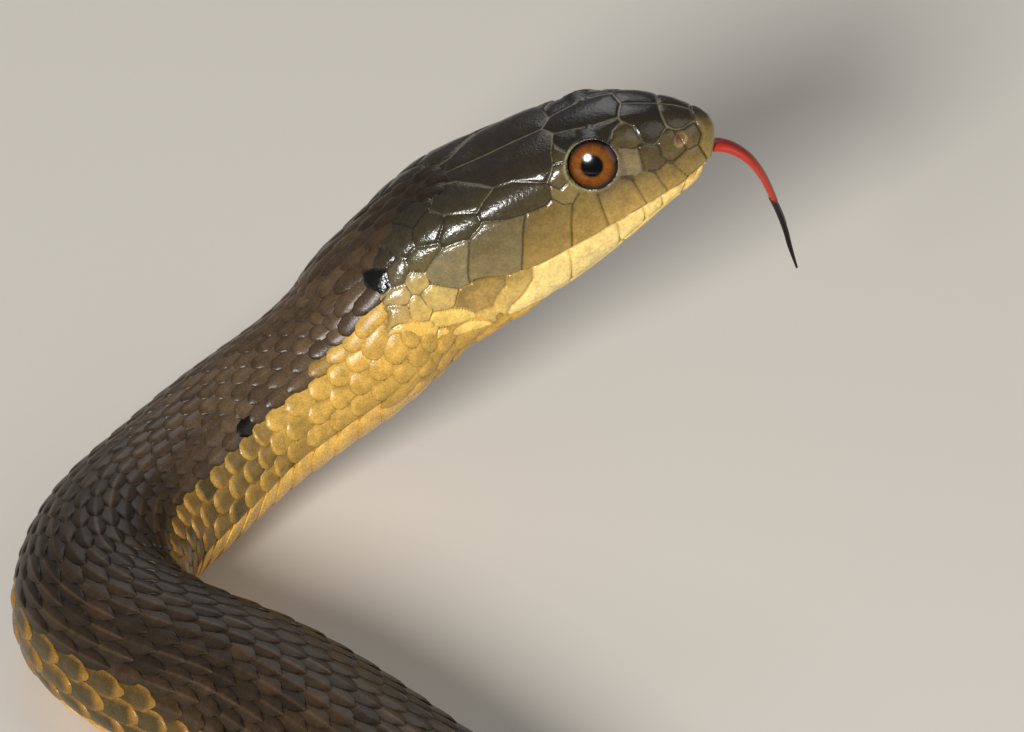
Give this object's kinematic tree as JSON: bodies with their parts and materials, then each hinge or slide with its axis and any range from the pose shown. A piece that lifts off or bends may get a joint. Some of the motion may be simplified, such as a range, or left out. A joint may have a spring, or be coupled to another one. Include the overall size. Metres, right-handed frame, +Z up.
{
  "type": "garter snake",
  "caption": "Life-size garter snake at rest on the floor in loose bends, head and neck raised, tongue out.",
  "frame": {"origin": "middle of the snake's outline seen from above, at the level of the floor it lies on", "axes": "+Z up from the floor, +X the way the head looks, +Y away from the side of the tail"},
  "size_m": [0.2582, 0.3478, 0.0384],
  "materials": {
    "back_scales": "satin, keeled scales",
    "head_shields": "smooth, glossy shields",
    "throat_shields": "smooth, glossy shields",
    "eye": "wet, clear gloss over an orange-brown iris and black pupil",
    "tongue": "moist, black tips"
  },
  "bodies": {
    "root": {"head": "head_shields", "lower_jaw": "throat_shields", "eye_right": "eye", "eye_left": "eye", "tongue": "tongue", "neck_1": "back_scales", "neck_2": "back_scales", "body_1": "back_scales", "body_2": "back_scales", "body_3": "back_scales", "body_4": "back_scales", "body_5": "back_scales", "body_6": "back_scales", "tail_1": "back_scales", "tail_2": "back_scales"}
  },
  "joints": []
}
